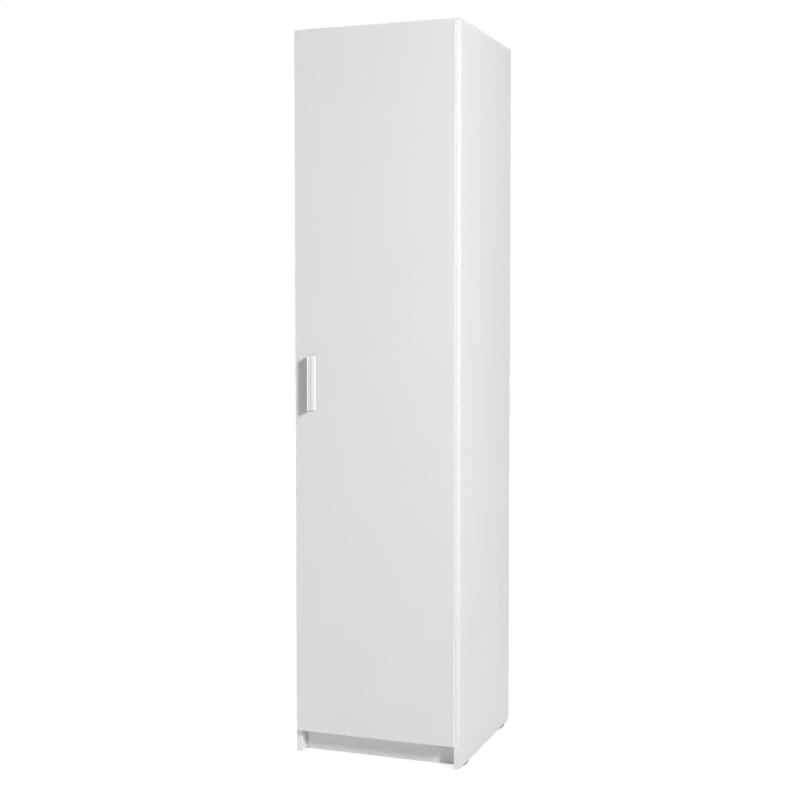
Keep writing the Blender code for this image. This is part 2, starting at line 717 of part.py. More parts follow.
def plan_hinge_screws(number, z):
    """Screws fixed in the cup's wings and the plate's wings, and the arm's own screw."""
    door_depth = CUP_FLANGE + WOOD_SCREW_LENGTH
    cup_screw = [
        (-WOOD_SCREW_HEAD / 2, WOOD_SCREW_HEAD_RADIUS),
        (CUP_FLANGE / 2, WOOD_SCREW_HEAD_RADIUS),
        (CUP_FLANGE / 2, WOOD_SCREW_RADIUS),
        (door_depth, WOOD_SCREW_RADIUS),
    ]
    plate_depth = PLATE_BASE + PLATE_SCREW_LENGTH
    plate_screw = [
        (-PLATE_SCREW_HEAD, PLATE_SCREW_HEAD_RADIUS - PLATE_SCREW_HEAD / 2),
        (-PLATE_SCREW_HEAD / 2, PLATE_SCREW_HEAD_RADIUS),
        (PLATE_BASE / 2, PLATE_SCREW_HEAD_RADIUS),
        (PLATE_BASE / 2, PLATE_SCREW_RADIUS),
        (plate_depth, PLATE_SCREW_RADIUS),
    ]
    for end in (-1, 1):
        start = Vector((CUP_X - CUP_SCREW_OFFSET, CUP_RIM, z + end * CUP_SCREW_SPACING / 2))
        bore = straight_bore(WOOD_SCREW_RADIUS, door_depth, CUP_FLANGE)
        stud(f"hinge_cup_{number}", cup_screw, bore, start, (0, -1, 0), ("door_panel",))
        start = Vector((PLATE_FACE, FRONT + PLATE_SCREW_SETBACK, z + end * PLATE_SCREW_SPACING / 2))
        bore = straight_bore(PLATE_SCREW_RADIUS, plate_depth, PLATE_BASE)
        stud(f"hinge_plate_{number}", plate_screw, bore, start, (1, 0, 0), ("side_panel_right",))
    arm_screw = pan_head(ARM_SCREW_HEAD_RADIUS, ARM_SCREW_HEAD, ARM_SCREW_RADIUS, ARM_SCREW_LENGTH)
    bore = straight_bore(ARM_SCREW_RADIUS, ARM_SCREW_LENGTH)
    start = Vector((ARM_ROOF_OUT, FRONT + ARM_END - ARM_SCREW_FROM_END, z))
    boards = (f"hinge_plate_{number}", f"hinge_arm_{number}")
    fasten(f"hinge_arm_screw_{number}", arm_screw, bore, start, (1, 0, 0), boards, NICKEL)


def plan_hinge_pins(number, z):
    """Pivot pins: each link carries its pin in the arm, and the cup carries its own pins."""
    arm = f"hinge_arm_{number}"
    cup = f"hinge_cup_{number}"
    outer = f"outer_link_{number}"
    wall = POCKET_HALF + PIN_IN_CUP
    middle = (LINK_PLATE_IN + LINK_PLATE_OUT) / 2
    spans = (
        (outer, ARM_OUTER_AXIS, -middle, middle, (arm,)),
        (f"inner_link_{number}", ARM_INNER_AXIS, -ARM_PLATE_OUT, ARM_PLATE_OUT, (arm,)),
        (cup, CUP_INNER_AXIS, -wall, wall, ()),
        (cup, CUP_OUTER_AXIS, -wall, -LINK_PLATE_IN, (outer,)),
        (cup, CUP_OUTER_AXIS, LINK_PLATE_IN, wall, (outer,)),
    )
    for carrier, axis, low, high, boards in spans:
        start = Vector((axis.x, axis.y, z + low))
        profile = [(0, PIN_RADIUS), (high - low, PIN_RADIUS)]
        bore = straight_bore(PIN_RADIUS, high - low, -FIT)
        stud(carrier, profile, bore, start, (0, 0, 1), boards)


def make_plate(number, z):
    """Mounting plate: two screwed wings and a spine that the arm slides over."""
    screws = [(FRONT + PLATE_SCREW_SETBACK, z + end * PLATE_SCREW_SPACING / 2) for end in (-1, 1)]
    wings = bmesh.new()
    add_prism(wings, capsule(screws[0], screws[1], PLATE_WING_RADIUS), "X", PLATE_FACE, INNER - FIT)
    origin = Vector((INNER - FIT, FRONT + PLATE_SCREW_SETBACK, z))
    piece = make_piece(f"hinge_plate_{number}", wings, NICKEL, origin)
    spine = bmesh.new()
    low = (SPINE_TOP, FRONT + SPINE_START, z - SPINE_HALF)
    add_box(spine, low, (INNER - FIT, FRONT + SPINE_END, z + SPINE_HALF))
    combine(piece, "UNION", spine, "spine")
    bevel(piece, EDGE_ROUND)
    drill(piece)


def make_arm(number, z):
    """Cranked arm: a channel over the plate's spine and a neck that enters the cup."""
    neck_end = (PLATE_FACE - ARM_NECK_OFFSET + ARM_NECK_RADIUS, FRONT + ARM_NECK_END)
    outer = (ARM_OUTER_AXIS.x, ARM_OUTER_AXIS.y)
    inner = (ARM_INNER_AXIS.x, ARM_INNER_AXIS.y)
    middle = ((outer[0] + inner[0]) / 2, (outer[1] + inner[1]) / 2)
    channel = bmesh.new()
    low = (ARM_ROOF_OUT, FRONT + ARM_START, z - ARM_HALF)
    add_box(channel, low, (PLATE_FACE - FIT, FRONT + ARM_END, z + ARM_HALF))
    piece = make_piece(f"hinge_arm_{number}", channel, NICKEL, Vector((neck_end[0], neck_end[1], z)))
    neck = bmesh.new()
    add_prism(neck, capsule(middle, neck_end, ARM_NECK_RADIUS), "Z", z - ARM_PLATE_OUT, z + ARM_PLATE_OUT)
    combine(piece, "UNION", neck, "neck")
    ears = bmesh.new()
    add_prism(ears, capsule(outer, inner, ARM_EAR_RADIUS), "Z", z - ARM_PLATE_OUT, z + ARM_PLATE_OUT)
    combine(piece, "UNION", ears, "ears")
    hollow = bmesh.new()
    low = (ARM_ROOF_IN, FRONT + SPINE_START - FIT, z - ARM_CHANNEL_HALF)
    add_box(hollow, low, (PLATE_FACE + BREAK, FRONT + ARM_END + BREAK, z + ARM_CHANNEL_HALF))
    combine(piece, "DIFFERENCE", hollow, "hollow")
    slot = bmesh.new()
    corners = circle(inner, LINK_RADIUS + 2 * FIT, SIDES)
    for angle in (0, -INNER_LINK_SWING):
        reach = Matrix.Rotation(angle, 3, "Z") @ (CUP_INNER_AXIS - ARM_INNER_AXIS)
        corners += circle((inner[0] + reach.x, inner[1] + reach.y), LINK_RADIUS + 2 * FIT, SIDES)
    add_prism(slot, hull(corners), "Z", z - ARM_PLATE_IN, z + ARM_PLATE_IN)
    combine(piece, "DIFFERENCE", slot, "slot")
    drill(piece)


def make_outer_link(number, z, axis):
    """Two plates outside the arm's ears, joined by the pin that turns in the arm."""
    start = (ARM_OUTER_AXIS.x, ARM_OUTER_AXIS.y)
    end = (CUP_OUTER_AXIS.x, CUP_OUTER_AXIS.y)
    plates = bmesh.new()
    for side in (-1, 1):
        faces = sorted((z + side * LINK_PLATE_IN, z + side * LINK_PLATE_OUT))
        add_prism(plates, capsule(start, end, LINK_RADIUS), "Z", faces[0], faces[1])
    piece = make_piece(f"outer_link_{number}", plates, NICKEL, Vector((start[0], start[1], z)), axis)
    drill(piece)


def make_inner_link(number, z, axis):
    """Bar between the arm's ears, with a slotted end on the cup's pin."""
    start = Vector((ARM_INNER_AXIS.x, ARM_INNER_AXIS.y))
    end = Vector((CUP_INNER_AXIS.x, CUP_INNER_AXIS.y))
    along = (end - start).normalized() * SLOT_TRAVEL
    eye = capsule(tuple(end - along), tuple(end + along), PIN_RADIUS + SLOT_PLAY + SLOT_RIM)
    bar = bmesh.new()
    outline = capsule(tuple(start), tuple(end), LINK_RADIUS)
    add_prism(bar, hull(outline + eye), "Z", z - INNER_LINK_HALF, z + INNER_LINK_HALF)
    piece = make_piece(f"inner_link_{number}", bar, NICKEL, Vector((start.x, start.y, z)), axis)
    slot = bmesh.new()
    outline = capsule(tuple(end - along), tuple(end + along), PIN_RADIUS + SLOT_PLAY)
    add_prism(slot, outline, "Z", z - INNER_LINK_HALF - BREAK, z + INNER_LINK_HALF + BREAK)
    combine(piece, "DIFFERENCE", slot, "slot")
    drill(piece)


def make_cup(number, z, axis):
    """Round cup with screwed wings, a flat-sided pocket and a notch towards the door's edge."""
    floor = DOOR_REAR - CUP_POCKET_DEPTH
    centre = (CUP_X, z)
    screws = [(CUP_X - CUP_SCREW_OFFSET, z + end * CUP_SCREW_SPACING / 2) for end in (-1, 1)]
    shell = bmesh.new()
    profile = [(-CUP_RIM, CUP_RADIUS), (-floor + CUP_FLOOR, CUP_RADIUS)]
    add_turned(shell, profile, Vector((CUP_X, 0, z)), (0, -1, 0), FINE_SIDES)
    origin = Vector((CUP_X, DOOR_REAR, z))
    piece = make_piece(f"hinge_cup_{number}", shell, NICKEL, origin, axis, smooth=True)
    wings = bmesh.new()
    add_prism(wings, capsule(screws[0], screws[1], CUP_WING_RADIUS), "Y", DOOR_REAR + FIT, CUP_RIM)
    combine(piece, "UNION", wings, "wings")
    pocket = bmesh.new()
    outline = clipped_disc(centre, CUP_POCKET_RADIUS, POCKET_HALF, SMALL_SIDES)
    add_prism(pocket, outline, "Y", floor, CUP_RIM + BREAK)
    combine(piece, "DIFFERENCE", pocket, "pocket")
    notch = bmesh.new()
    low = (CUP_X + CUP_POCKET_RADIUS / 2, DOOR_REAR - CUP_NOTCH_DEPTH, z - POCKET_HALF)
    add_box(notch, low, (CUP_X + CUP_RADIUS + BREAK, CUP_RIM + BREAK, z + POCKET_HALF))
    combine(piece, "DIFFERENCE", notch, "notch")
    drill(piece)


def plan_cup_bores():
    """Round holes in the door that the cups sit in."""
    depth = CUP_POCKET_DEPTH + CUP_FLOOR
    for z in HINGE_HEIGHTS:
        start = Vector((CUP_X, DOOR_REAR, z))
        add_turned(bores["door_panel"], straight_bore(CUP_RADIUS, depth), start, (0, -1, 0), FINE_SIDES)


def make_hinges(outer_axis, inner_axis, door_axis):
    for number, z in enumerate(HINGE_HEIGHTS, 1):
        make_plate(number, z)
        make_arm(number, z)
        make_outer_link(number, z, outer_axis)
        make_inner_link(number, z, inner_axis)
        make_cup(number, z, door_axis)


def main():
    clear_scene()
    outer_axis = make_axis("outer_link_axis", ARM_OUTER_AXIS)
    inner_axis = make_axis("inner_link_axis", ARM_INNER_AXIS)
    door_axis = make_axis("door_axis", CUP_OUTER_AXIS)
    make_joint_screws()
    make_dowels()
    make_shelf_pins()
    make_rail_screws()
    make_pull_screws(door_axis)
    plan_back_nails()
    plan_glide_nails()
    plan_cup_bores()
    for number, z in enumerate(HINGE_HEIGHTS, 1):
        plan_hinge_screws(number, z)
        plan_hinge_pins(number, z)
    make_boards()
    make_shelf()
    make_rail()
    make_glides()
    make_door(door_axis)
    make_buffers(door_axis)
    make_pull(door_axis)
    make_hinges(outer_axis, inner_axis, door_axis)


main()
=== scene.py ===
"""Dresses the packed wardrobe with its finishes and fittings, and sets it in a small white studio.

Metres, +Z up. The door faces -Y, the hinges are on the right (+X).
"""

import json
from collections import namedtuple
from math import asin, cos, pi, radians, sin

import bmesh
import bpy
from bpy.props import FloatProperty, FloatVectorProperty, PointerProperty
from bpy.types import Operator, Panel, PropertyGroup
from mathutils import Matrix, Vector

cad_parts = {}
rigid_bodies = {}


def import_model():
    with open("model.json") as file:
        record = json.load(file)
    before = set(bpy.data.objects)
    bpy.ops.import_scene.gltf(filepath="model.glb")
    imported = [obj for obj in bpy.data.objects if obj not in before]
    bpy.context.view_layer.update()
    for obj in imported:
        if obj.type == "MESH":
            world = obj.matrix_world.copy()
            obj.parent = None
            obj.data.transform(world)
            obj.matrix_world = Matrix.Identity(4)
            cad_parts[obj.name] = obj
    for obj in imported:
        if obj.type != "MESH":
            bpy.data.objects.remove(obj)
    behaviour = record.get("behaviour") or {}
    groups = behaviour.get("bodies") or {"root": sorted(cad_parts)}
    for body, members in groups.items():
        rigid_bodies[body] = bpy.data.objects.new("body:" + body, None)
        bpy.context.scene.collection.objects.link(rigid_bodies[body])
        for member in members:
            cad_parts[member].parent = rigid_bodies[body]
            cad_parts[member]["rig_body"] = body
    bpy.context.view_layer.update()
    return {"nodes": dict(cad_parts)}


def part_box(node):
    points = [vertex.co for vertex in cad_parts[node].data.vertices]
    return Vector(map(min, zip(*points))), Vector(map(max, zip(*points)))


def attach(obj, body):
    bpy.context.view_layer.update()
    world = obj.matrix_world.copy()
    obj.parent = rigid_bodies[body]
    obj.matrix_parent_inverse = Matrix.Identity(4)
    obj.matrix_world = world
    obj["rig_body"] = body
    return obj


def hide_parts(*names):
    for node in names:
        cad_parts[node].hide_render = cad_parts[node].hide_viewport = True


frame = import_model()

bl_info = {
    "name": "Wardrobe finishes and fittings",
    "version": (1, 0, 0),
    "blender": (4, 5, 0),
    "location": "3D View > Sidebar > Wardrobe",
    "description": "Dresses a packed one-door wardrobe and lights it",
    "category": "Object",
}

MM = 0.001
UP = Vector((0, 0, 1))
LEFT = Vector((-1, 0, 0))
RIGHT = Vector((1, 0, 0))
TO_REAR = Vector((0, 1, 0))
OUTWARD = {"left": LEFT, "right": RIGHT}
INWARD = {"left": RIGHT, "right": LEFT}
ENDS = ("front", "rear")
LEVELS = ("top", "bottom")
PLACES = ("lower", "upper")
HINGES = ("1", "2", "3")

# Angles between faces that shade smoothly, meet in a corner, get pressed edges or count as flat
SMOOTH_ANGLE = radians(32)
CORNER_ANGLE = radians(60)
PRESSED_ANGLE = radians(40)
FLAT_ANGLE = radians(0.5)

# Least share of an edge's length, or of a face's normal, that lies along an axis
ALONG = 0.99
SQUARE_ON = 0.9

# Distances under which points and places count as the same
RING_WELD = 1e-7
SOLID_WELD = 1e-6
NEAR = 1e-5

# A surface counts as turned to an axis from the first share of its normal, and fully so from the second
TURNED = 0.6
FULLY_TURNED = 0.8

SHEET_THICKNESS = 3 * MM
SHEET_SOFT = 0.4 * MM
NAILS = 4
NAIL_INSET = 50 * MM
NAIL_COLOUR = (0.52, 0.51, 0.49)
GLIDE_SOFT = 0.3 * MM
RAIL_ROUND = 7.5 * MM
SOCKET_DEPTH = 12 * MM
SOCKET_PLAY = 0.3 * MM
EAR_PLACE = 22 * MM
EAR_SOFT = 0.6 * MM
COLLAR_SOFT = 0.4 * MM
BUFFER_DEPTH = 2.4 * MM
BUFFER_FOOT = 2.8 * MM
BUFFER_RADIUS = 3 * MM
BUFFER_FLAT = 0.8 * MM
BUFFER_DOME = 0.8

# Shares of a screw's shank for its point and taper, and of its head for the flat top and the recess
SCREW_POINT = 0.3
SCREW_TAPER = 2
HEAD_FLAT = 0.35
RECESS_SPAN = 1.15
RECESS_WIDTH = 0.26
RECESS_DEPTH = 0.7

# Turned pieces from the tip up: heights under the top, and radii
ROUND_SIDES = 48
CAPPED_SCREW = (
    (-51.4 * MM, 0.6 * MM),
    (-47 * MM, 2.5 * MM),
    (-19.4 * MM, 2.5 * MM),
    (-19.4 * MM, 3.5 * MM),
    (-4.5 * MM, 3.5 * MM),
    (-3 * MM, 5 * MM),
    (-1.4 * MM, 5 * MM),
)
COLLARED_PIN = (
    (-20.8 * MM, 1.6 * MM),
    (-20.2 * MM, 2.5 * MM),
    (-10.5 * MM, 2.5 * MM),
    (-10.5 * MM, 3.8 * MM),
    (-10.3 * MM, 4 * MM),
    (-9.2 * MM, 4 * MM),
    (-9 * MM, 3.8 * MM),
    (-9 * MM, 2.5 * MM),
)
NAIL_SHANK = ((-15 * MM, 0.2 * MM), (-12 * MM, 0.8 * MM))

Lamp = namedtuple("Lamp", "place aim width power")
LAMPS = {
    "key_light": Lamp(place=(4.32, -3.07, 3.09), aim=(-1.45, -0.93, 0.7), width=0.8, power="key_power"),
    "fill_light": Lamp(place=(-0.1, -7.64, 2.06), aim=(-0.23, 0, 1.88), width=2.4, power="fill_power"),
    "rear_light": Lamp(place=(-1.8, 5.6, 3.0), aim=(0, 0.2, 1.0), width=2.4, power="rear_power"),
    "side_light": Lamp(place=(-5.4, 0.4, 2.6), aim=(0, -0.1, 1.0), width=2.4, power="side_power"),
    "top_light": Lamp(place=(-0.1, 0.15, 5.5), aim=(-0.1, 0.15, 0), width=1.0, power="top_power"),
    "reflector_card": Lamp(place=(-1.6, -3.45, 0.9), aim=(-0.19, -0.25, 1.0), width=1.7, power="card_power"),
}
KEY_HEIGHT = 1.5
KEY_SPREAD = radians(113)
TOP_SPREAD = radians(30)
SENSOR_WIDTH = 36
WHITE = (1, 1, 1, 1)
FLOOR_SIZE = 40
FLOOR_ROUGHNESS = 0.9

# The floor's white, near the wardrobe and far off, and the distances between which it changes
GLOW_NEAR = 0.8
GLOW_FAR = 1.0
GLOW_START = 2.0
GLOW_END = 5.0


def length(name, description, default):
    return FloatProperty(
        name=name, description=description, default=default, min=0, precision=5, unit="LENGTH"
    )


def share(name, description, default):
    return FloatProperty(
        name=name, description=description, default=default, min=0, max=1, subtype="FACTOR"
    )


def tone(name, description, default):
    return FloatVectorProperty(
        name=name, description=description, default=default, min=0, max=1, size=3, subtype="COLOR"
    )


def angle(name, description, default):
    return FloatProperty(
        name=name, description=description, default=default, subtype="ANGLE", unit="ROTATION"
    )


def power(name, description, default):
    return FloatProperty(name=name, description=description, default=default, unit="POWER")


class WardrobeBoardSettings(PropertyGroup):
    """Finishes of the boards and the back."""

    white: tone("White", "Colour of the coated boards", (0.803, 0.801, 0.821))
    # Lighter white on the front faces of the sides and plinth: painted light that brightens the plinth in the
    # door's shade and the edge strip beside the door.
    front_white_painted_light: tone("Edge white", "Colour of the carcass's front edges and plinth", (0.852, 0.851, 0.862))
    white_back: tone("White of the back", "Colour of the coated side of the back", (0.77, 0.768, 0.785))
    roughness: share("Roughness", "Roughness of the coating", 0.46)
    pearl: length("Pearl", "Size of the fine pearls pressed into the coating", 0.9 * MM)
    chip: length("Chip", "Size of the wood chips in a raw edge", 2.2 * MM)
    chip_light: tone("Light chips", "Colour of the light chips in a raw edge", (0.60, 0.43, 0.26))
    chip_dark: tone("Dark chips", "Colour of the dark chips in a raw edge", (0.33, 0.21, 0.11))
    fibre: tone("Fibre board", "Colour of the raw side of the back", (0.42, 0.28, 0.16))
    beech: tone("Beech", "Colour of the dowels", (0.62, 0.44, 0.26))


class WardrobePullSettings(PropertyGroup):
    """Shape and finish of the door pull."""

    web: length("Web", "Thickness of the web that the fingers hook behind", 3.2 * MM)
    flange: length("Flange", "Thickness of the flange on the door", 4.5 * MM)
    soft: length("Soft edges", "Radius of the long edges", 0.6 * MM)
    fillet: length("Fillet", "Radius between web and flange", 0.4 * MM)
    colour: tone("Colour", "Colour of the anodised metal", (0.80, 0.80, 0.815))
    roughness: share("Roughness", "Roughness of the anodised metal", 0.36)


class WardrobeFittingSettings(PropertyGroup):
    """Shapes and finishes of caps, glides, rail, screws, pins and buffers."""

    cap_radius: length("Cap radius", "Radius of the screw caps", 6.5 * MM)
    cap_height: length("Cap height", "Height of a cap over its rim", 1.2 * MM)
    # The caps' white is their whiter plastic, raised further as a painted highlight for the glint on each
    # cap's dome.
    cap_white_and_painted_highlight: tone("Cap colour", "Colour of the screw caps", (0.93, 0.93, 0.935))
    glide_height: length("Glide height", "Height of the glides under the sides", 4 * MM)
    glide_colour: tone("Glide colour", "Colour of the glides", (0.018, 0.018, 0.019))
    rail_wall: length("Rail wall", "Thickness of the rail's tube", 1.2 * MM)
    socket_base: length("Socket base", "Thickness of a rail socket's base", 2.5 * MM)
    socket_wall: length("Socket wall", "Thickness of a rail socket's collar", 2 * MM)
    ear_radius: length("Ear radius", "Radius of a rail socket's screw ears", 6 * MM)
    chrome: tone("Chrome", "Colour of the rail and its sockets", (0.78, 0.79, 0.80))
    zinc: tone("Zinc", "Colour of the wood screws", (0.60, 0.60, 0.58))
    nickel: tone("Nickel", "Colour of hinges, pins and machine screws", (0.68, 0.665, 0.63))
    buffer_colour: tone("Buffer colour", "Colour of the clear buffers", (0.90, 0.91, 0.91))


class WardrobeStageSettings(PropertyGroup):
    """Camera and light."""

    camera_place: FloatVectorProperty(
        name="Camera place",
        description="Where the camera stands",
        default=(1.3345, -3.6985, 1.2145),
        size=3,
        subtype="TRANSLATION",
        unit="LENGTH",
    )
    camera_turn: angle("Camera turn", "Angle of the camera about the vertical", radians(20.008))
    camera_dip: angle("Camera dip", "Angle by which the camera looks down", radians(2.6))
    lens: FloatProperty(
        name="Lens",
        description="Focal length in millimetres",
        default=62.96,
        min=1,
        subtype="DISTANCE_CAMERA",
    )
    lens_drop: FloatProperty(
        name="Lens drop",
        description="Vertical shift of the lens, as a share of the frame",
        default=-0.0321,
    )
    key_power: power("Key light", "Power of the key light", 130.5)
    fill_power: power("Fill light", "Power of the fill light", 85)
    rear_power: power("Rear light", "Power of the light behind", 170)
    side_power: power("Side light", "Power of the light at the left", 105)
    top_power: power("Top light", "Power of the light above", 2.4)
    card_power: power("Reflector card", "Power of the light from the card", 1.6)
    room_light: share("Room light", "Strength of the light from all around", 0.0)
    floor_tone: tone("Floor", "Colour of the floor", (0.30, 0.30, 0.30))
    floor_bounce: tone("Floor bounce", "Floor's colour in the light that it throws back", (0.74, 0.74, 0.74))


def fresh():
    """Object mode with nothing selected."""
    if bpy.context.mode != "OBJECT":
        bpy.ops.object.mode_set(mode="OBJECT")
    bpy.ops.object.select_all(action="DESELECT")


def take(piece):
    """Select one piece alone and make it the active one."""
    fresh()
    piece.select_set(True)
    bpy.context.view_layer.objects.active = piece


def edit(piece):
    """Edit mode on one piece, with all of it selected."""
    take(piece)
    bpy.ops.object.mode_set(mode="EDIT")
    bpy.ops.mesh.select_all(action="SELECT")


def choose_faces(piece, test):
    """In edit mode, select the faces that pass a test."""
    bpy.ops.mesh.select_mode(type="FACE")
    bpy.ops.mesh.select_all(action="DESELECT")
    shape = bmesh.from_edit_mesh(piece.data)
    for face in shape.faces:
        face.select_set(test(face))
    bmesh.update_edit_mesh(piece.data)


def choose_edges(piece, test):
    """In edit mode, select the edges that pass a test."""
    bpy.ops.mesh.select_mode(type="EDGE")
    bpy.ops.mesh.select_all(action="DESELECT")
    shape = bmesh.from_edit_mesh(piece.data)
    for edge in shape.edges:
        if test(edge):
            edge.select_set(True)
    bmesh.update_edit_mesh(piece.data)


def middle(edge):
    return (edge.verts[0].co + edge.verts[1].co) / 2


def stands_up(edge):
    """Whether an edge lies along Z."""
    reach = edge.verts[1].co - edge.verts[0].co
    return abs(reach.z) > ALONG * reach.length


def bends(edge):
    """Whether two faces meet in a sharp corner at an edge."""
    return len(edge.link_faces) == 2 and edge.calc_face_angle() > CORNER_ANGLE


def shape_with(piece, kind, **settings):
    """Add a modifier to a piece and apply it."""
    take(piece)
    modifier = piece.modifiers.new(kind.lower(), kind)
    for key, value in settings.items():
        setattr(modifier, key, value)
    bpy.ops.object.modifier_apply(modifier=modifier.name)


def combine(piece, tool, operation):
    """Boolean of a piece with a tool, which is used up."""
    shape_with(piece, "BOOLEAN", operation=operation, solver="EXACT", object=tool)
    bpy.data.objects.remove(tool)


def add_block(name, low, high):
    """Block between two corners."""
    fresh()
    bpy.ops.mesh.primitive_cube_add(size=1, location=(low + high) / 2)
    piece = bpy.context.object
    piece.name = name
    piece.scale = high - low
    bpy.ops.object.transform_apply(location=True, rotation=True, scale=True)
    return piece


def grow_rings(name, rings, sides=ROUND_SIDES):
    """Round piece along Z, grown ring by ring from heights and radii."""
    fresh()
    height, radius = rings[0]
    bpy.ops.mesh.primitive_circle_add(
        vertices=sides, radius=radius, fill_type="NGON", location=(0, 0, height)
    )
    piece = bpy.context.object
    piece.name = name
    bpy.ops.object.transform_apply(location=True, rotation=True, scale=True)
    edit(piece)
    for next_height, next_radius in rings[1:]:
        rise = (0, 0, next_height - height)
        bpy.ops.mesh.extrude_region_move(TRANSFORM_OT_translate={"value": rise})
        grow = next_radius / radius
        bpy.ops.transform.resize(value=(grow, grow, 1), center_override=(0, 0, next_height))
        height, radius = next_height, next_radius
    bpy.ops.mesh.select_all(action="SELECT")
    bpy.ops.mesh.remove_doubles(threshold=RING_WELD)
    bpy.ops.mesh.normals_make_consistent(inside=False)
    fresh()
    return piece


def dome(height, radius, flat, steps=7):
    """Rings of a low dome whose top lies at zero, from its rim to its flat middle."""
    angles = [pi / 2 * i / steps for i in range(steps + 1)]
    return [(height * (sin(a) - 1), flat + (radius - flat) * cos(a)) for a in angles]


def crown(height, radius, steps=8):
    """Rings of a shallow round crown whose top lies at zero, from its rim to near its middle."""
    ball = (radius**2 + height**2) / (2 * height)
    rim = asin(radius / ball)
    angles = [rim * (1 - i / steps) for i in range(steps)]
    return [(ball * (cos(a) - 1), ball * sin(a)) for a in angles]


def hull_block(name, discs, low, high):
    """Block along Z whose outline is stretched round discs, given as x, y and radius."""
    parts = []
    for x, y, radius in discs:
        fresh()
        bpy.ops.mesh.primitive_cylinder_add(
            vertices=ROUND_SIDES, radius=radius, depth=high - low, location=(x, y, (low + high) / 2)
        )
        parts.append(bpy.context.object)
    fresh()
    for part in parts:
        part.select_set(True)
    bpy.context.view_layer.objects.active = parts[0]
    bpy.ops.object.transform_apply(location=True, rotation=True, scale=True)
    bpy.ops.object.join()
    piece = bpy.context.object
    piece.name = name
    edit(piece)
    bpy.ops.mesh.convex_hull()
    bpy.ops.mesh.select_all(action="SELECT")
    bpy.ops.mesh.dissolve_limited(angle_limit=FLAT_ANGLE)
    bpy.ops.mesh.normals_make_consistent(inside=False)
    fresh()
    return piece


def round_edges(piece, test, radius, segments):
    """In edit mode, round the edges that pass a test."""
    choose_edges(piece, test)
    bpy.ops.mesh.bevel(offset=radius, segments=segments, profile=0.5)


def soften(piece, test, radius, segments=3):
    """Round the edges of a piece that pass a test."""
    edit(piece)
    round_edges(piece, test, radius, segments)
    fresh()


def cut_cross(piece, span, width, depth):
    """Cross recess in a screw head that faces up, sunk from its top at zero."""
    for x, y in ((span / 2, width / 2), (width / 2, span / 2)):
        tool = add_block("recess", Vector((-x, -y, -depth)), Vector((x, y, depth)))
        combine(piece, tool, "DIFFERENCE")


def copy_piece(source, name, place, outward):
    """Copy of a piece modelled at the origin, with its top turned outward."""
    take(source)
    bpy.ops.object.duplicate()
    piece = bpy.context.object
    piece.name = name
    piece.location = place
    piece.rotation_euler = UP.rotation_difference(outward).to_euler()
    bpy.ops.object.transform_apply(location=True, rotation=True, scale=True)
    return piece


def outer_point(node, outward):
    """Middle of the end of a node's box that faces outward."""
    low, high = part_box(node)
    return (low + high) / 2 + outward * abs((high - low).dot(outward)) / 2


def body_of(node):
    return frame["nodes"][node]["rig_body"]


def dress(piece, finish, slot, *nodes, body=None):
    """Give a piece its finish and its body, and hide the nodes that it stands for."""
    take(piece)
    bpy.ops.object.shade_smooth_by_angle(angle=SMOOTH_ANGLE)
    shape_with(piece, "WEIGHTED_NORMAL", mode="FACE_AREA", keep_sharp=True)
    piece.data.materials.clear()
    piece.data.materials.append(finish)
    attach(piece, body or body_of(nodes[0]))
    if nodes:
        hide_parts(*nodes)


def coat_node(node, finish):
    """Give a CAD node that is carried over its finish."""
    target = frame["nodes"][node]
    target.data.materials.clear()
    target.data.materials.append(finish)


def new_finish(name, colour, roughness, metallic=0.0):
    """Shader whose plain values are set on its own sockets."""
    material = bpy.data.materials.new(name)
    material.use_nodes = True
    shader = material.node_tree.nodes["Principled BSDF"]
    shader.inputs["Base Color"].default_value = (*colour, 1)
    shader.inputs["Roughness"].default_value = roughness
    shader.inputs["Metallic"].default_value = metallic
    return material, material.node_tree, shader


def places(tree, stretch=(1, 1, 1)):
    """Object coordinates, stretched along each axis."""
    source = tree.nodes.new("ShaderNodeTexCoord")
    mapping = tree.nodes.new("ShaderNodeMapping")
    mapping.inputs["Scale"].default_value = stretch
    tree.links.new(source.outputs["Object"], mapping.inputs["Vector"])
    return mapping.outputs["Vector"]


def cloudy(tree, size, detail=2.0, stretch=(1, 1, 1)):
    """Soft noise with grains of a size in metres."""
    node = tree.nodes.new("ShaderNodeTexNoise")
    node.inputs["Scale"].default_value = 1 / size
    node.inputs["Detail"].default_value = detail
    tree.links.new(places(tree, stretch), node.inputs["Vector"])
    return node.outputs["Fac"]


def cells(tree, size, stretch=(1, 1, 1)):
    """Grey of irregular cells of a size in metres."""
    node = tree.nodes.new("ShaderNodeTexVoronoi")
    node.inputs["Scale"].default_value = 1 / size
    tree.links.new(places(tree, stretch), node.inputs["Vector"])
    grey = tree.nodes.new("ShaderNodeRGBToBW")
    tree.links.new(node.outputs["Color"], grey.inputs["Color"])
    return grey.outputs["Val"]


def spread(tree, factor, low, high, start=0.3, end=0.7):
    """Number that runs from low to high with a pattern."""
    node = tree.nodes.new("ShaderNodeMapRange")
    for socket, value in (("From Min", start), ("From Max", end), ("To Min", low), ("To Max", high)):
        node.inputs[socket].default_value = value
    tree.links.new(factor, node.inputs["Value"])
    return node.outputs["Result"]


def mixed(tree, factor, first, second):
    """Colour between two others. Each is three numbers or a socket."""
    node = tree.nodes.new("ShaderNodeMix")
    node.data_type = "RGBA"
    tree.links.new(factor, node.inputs[0])
    for socket, colour in ((node.inputs[6], first), (node.inputs[7], second)):
        if isinstance(colour, bpy.types.NodeSocket):
            tree.links.new(colour, socket)
        else:
            socket.default_value = (*colour, 1)
    return node.outputs[2]


def facing(tree, axis, start, end):
    """One where the surface's own normal faces along an axis, X, Y or Z, else zero."""
    source = tree.nodes.new("ShaderNodeTexCoord")
    split = tree.nodes.new("ShaderNodeSeparateXYZ")
    tree.links.new(source.outputs["Normal"], split.inputs["Vector"])
    return spread(tree, split.outputs[axis], 0, 1, start, end)


